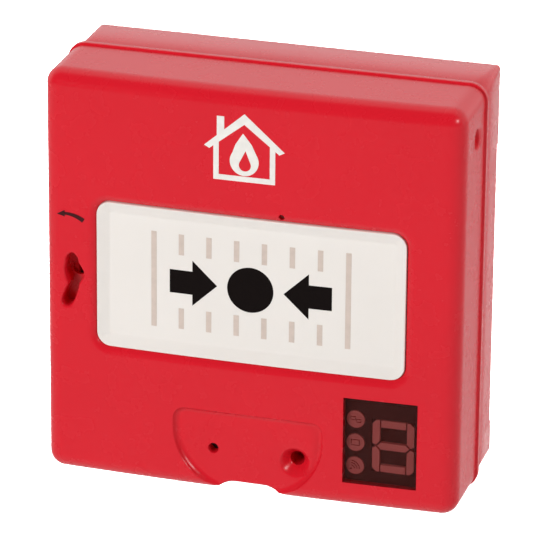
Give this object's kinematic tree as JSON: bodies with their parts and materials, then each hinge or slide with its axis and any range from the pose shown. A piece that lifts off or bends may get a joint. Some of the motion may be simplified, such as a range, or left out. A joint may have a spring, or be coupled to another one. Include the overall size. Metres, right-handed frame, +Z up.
{
  "type": "manual call point",
  "caption": "Square red wall-mounted manual call point with a resettable push plate window, keyed reset, smoked status display and a hinged front cover.",
  "frame": {"origin": "middle of the rear wall face, on the wall plane", "axes": "+X to the right as seen from the front, +Y into the wall, +Z up; the front faces -Y"},
  "size_m": [0.1262, 0.0502, 0.1262],
  "materials": {
    "cover_red": "smooth semi-gloss moulded",
    "plate_white": "satin moulded",
    "print_white": "screen-printed ink",
    "print_black": "screen-printed ink",
    "bar_grey": "warm grey groove",
    "smoked_lens": "smoked red window",
    "mask_black": "black light mask",
    "dim_red_diffuser": "unlit red diffuser",
    "board_green": "solder mask",
    "carrier_grey": "moulded",
    "steel": "plain",
    "brass": "plain",
    "gasket_rubber": "foam rubber",
    "cradle_black": "moulded",
    "battery_wrap": "shrink wrap",
    "capacitor_blue": "sleeved can",
    "pale_plastic": "moulded"
  },
  "bodies": {
    "wall_unit": {"back_box": "cover_red", "seam_gasket": "gasket_rubber", "screw_insert": "brass", "battery_cradle": "cradle_black", "batteries": "battery_wrap", "battery_contacts": "steel", "power_pins": "brass", "tamper_magnet": "steel"},
    "front_unit": {"front_cover": "cover_red", "house_pictogram": "print_white", "turn_arrow": "print_black", "cover_screw": "steel", "screw_clip": "steel", "plate_carrier": "carrier_grey", "carrier_screws": "steel", "display_lens": "smoked_lens", "display_mask": "mask_black", "digit_segments": "dim_red_diffuser", "status_icons": "dim_red_diffuser", "display_board": "board_green", "display_header": "brass", "main_board": "board_green", "board_screws": "steel", "radio_module": "steel", "antenna": "brass", "sounder": "cradle_black", "processor": "cradle_black", "capacitors": "capacitor_blue", "reed_switch": "pale_plastic", "plate_switch": "cradle_black", "test_switch": "cradle_black", "test_spring": "steel"},
    "press_plate": {"push_plate": "plate_white", "plate_symbols": "print_black", "plate_bars": "bar_grey"},
    "switch_lever": {"switch_lever": "steel"},
    "reset_lock": {"reset_barrel": "cover_red", "reset_cam": "cover_red"},
    "test_key": {"test_button": "pale_plastic"}
  },
  "joints": [
    {"name": "cover_hinge", "type": "hinge", "parent": "wall_unit", "child": "front_unit", "pos_m": [0, -0.02215, 0.0624], "axis": [-1, 0, 0], "range_deg": [0, 60]},
    {"name": "plate_press", "type": "slide", "parent": "front_unit", "child": "press_plate", "axis": [0, 1, 0], "range_m": [0, 0.003]},
    {"name": "switch_pivot", "type": "hinge", "parent": "front_unit", "child": "switch_lever", "pos_m": [0, -0.03716, -0.0225], "axis": [-1, 0, 0], "range_deg": [0, 16.7]},
    {"name": "reset_turn", "type": "hinge", "parent": "front_unit", "child": "reset_lock", "pos_m": [-0.0533, -0.04151, 0.0005], "axis": [0, -1, 0], "range_deg": [0, 90]},
    {"name": "test_press", "type": "slide", "parent": "front_unit", "child": "test_key", "axis": [0, 1, 0], "range_m": [0, 0.0012], "stiffness_N_per_m": 250, "deforming": ["test_spring"]}
  ],
  "couplings": [
    {"joint": "switch_pivot", "follows": "plate_press", "rad_per_m": 96.7}
  ]
}
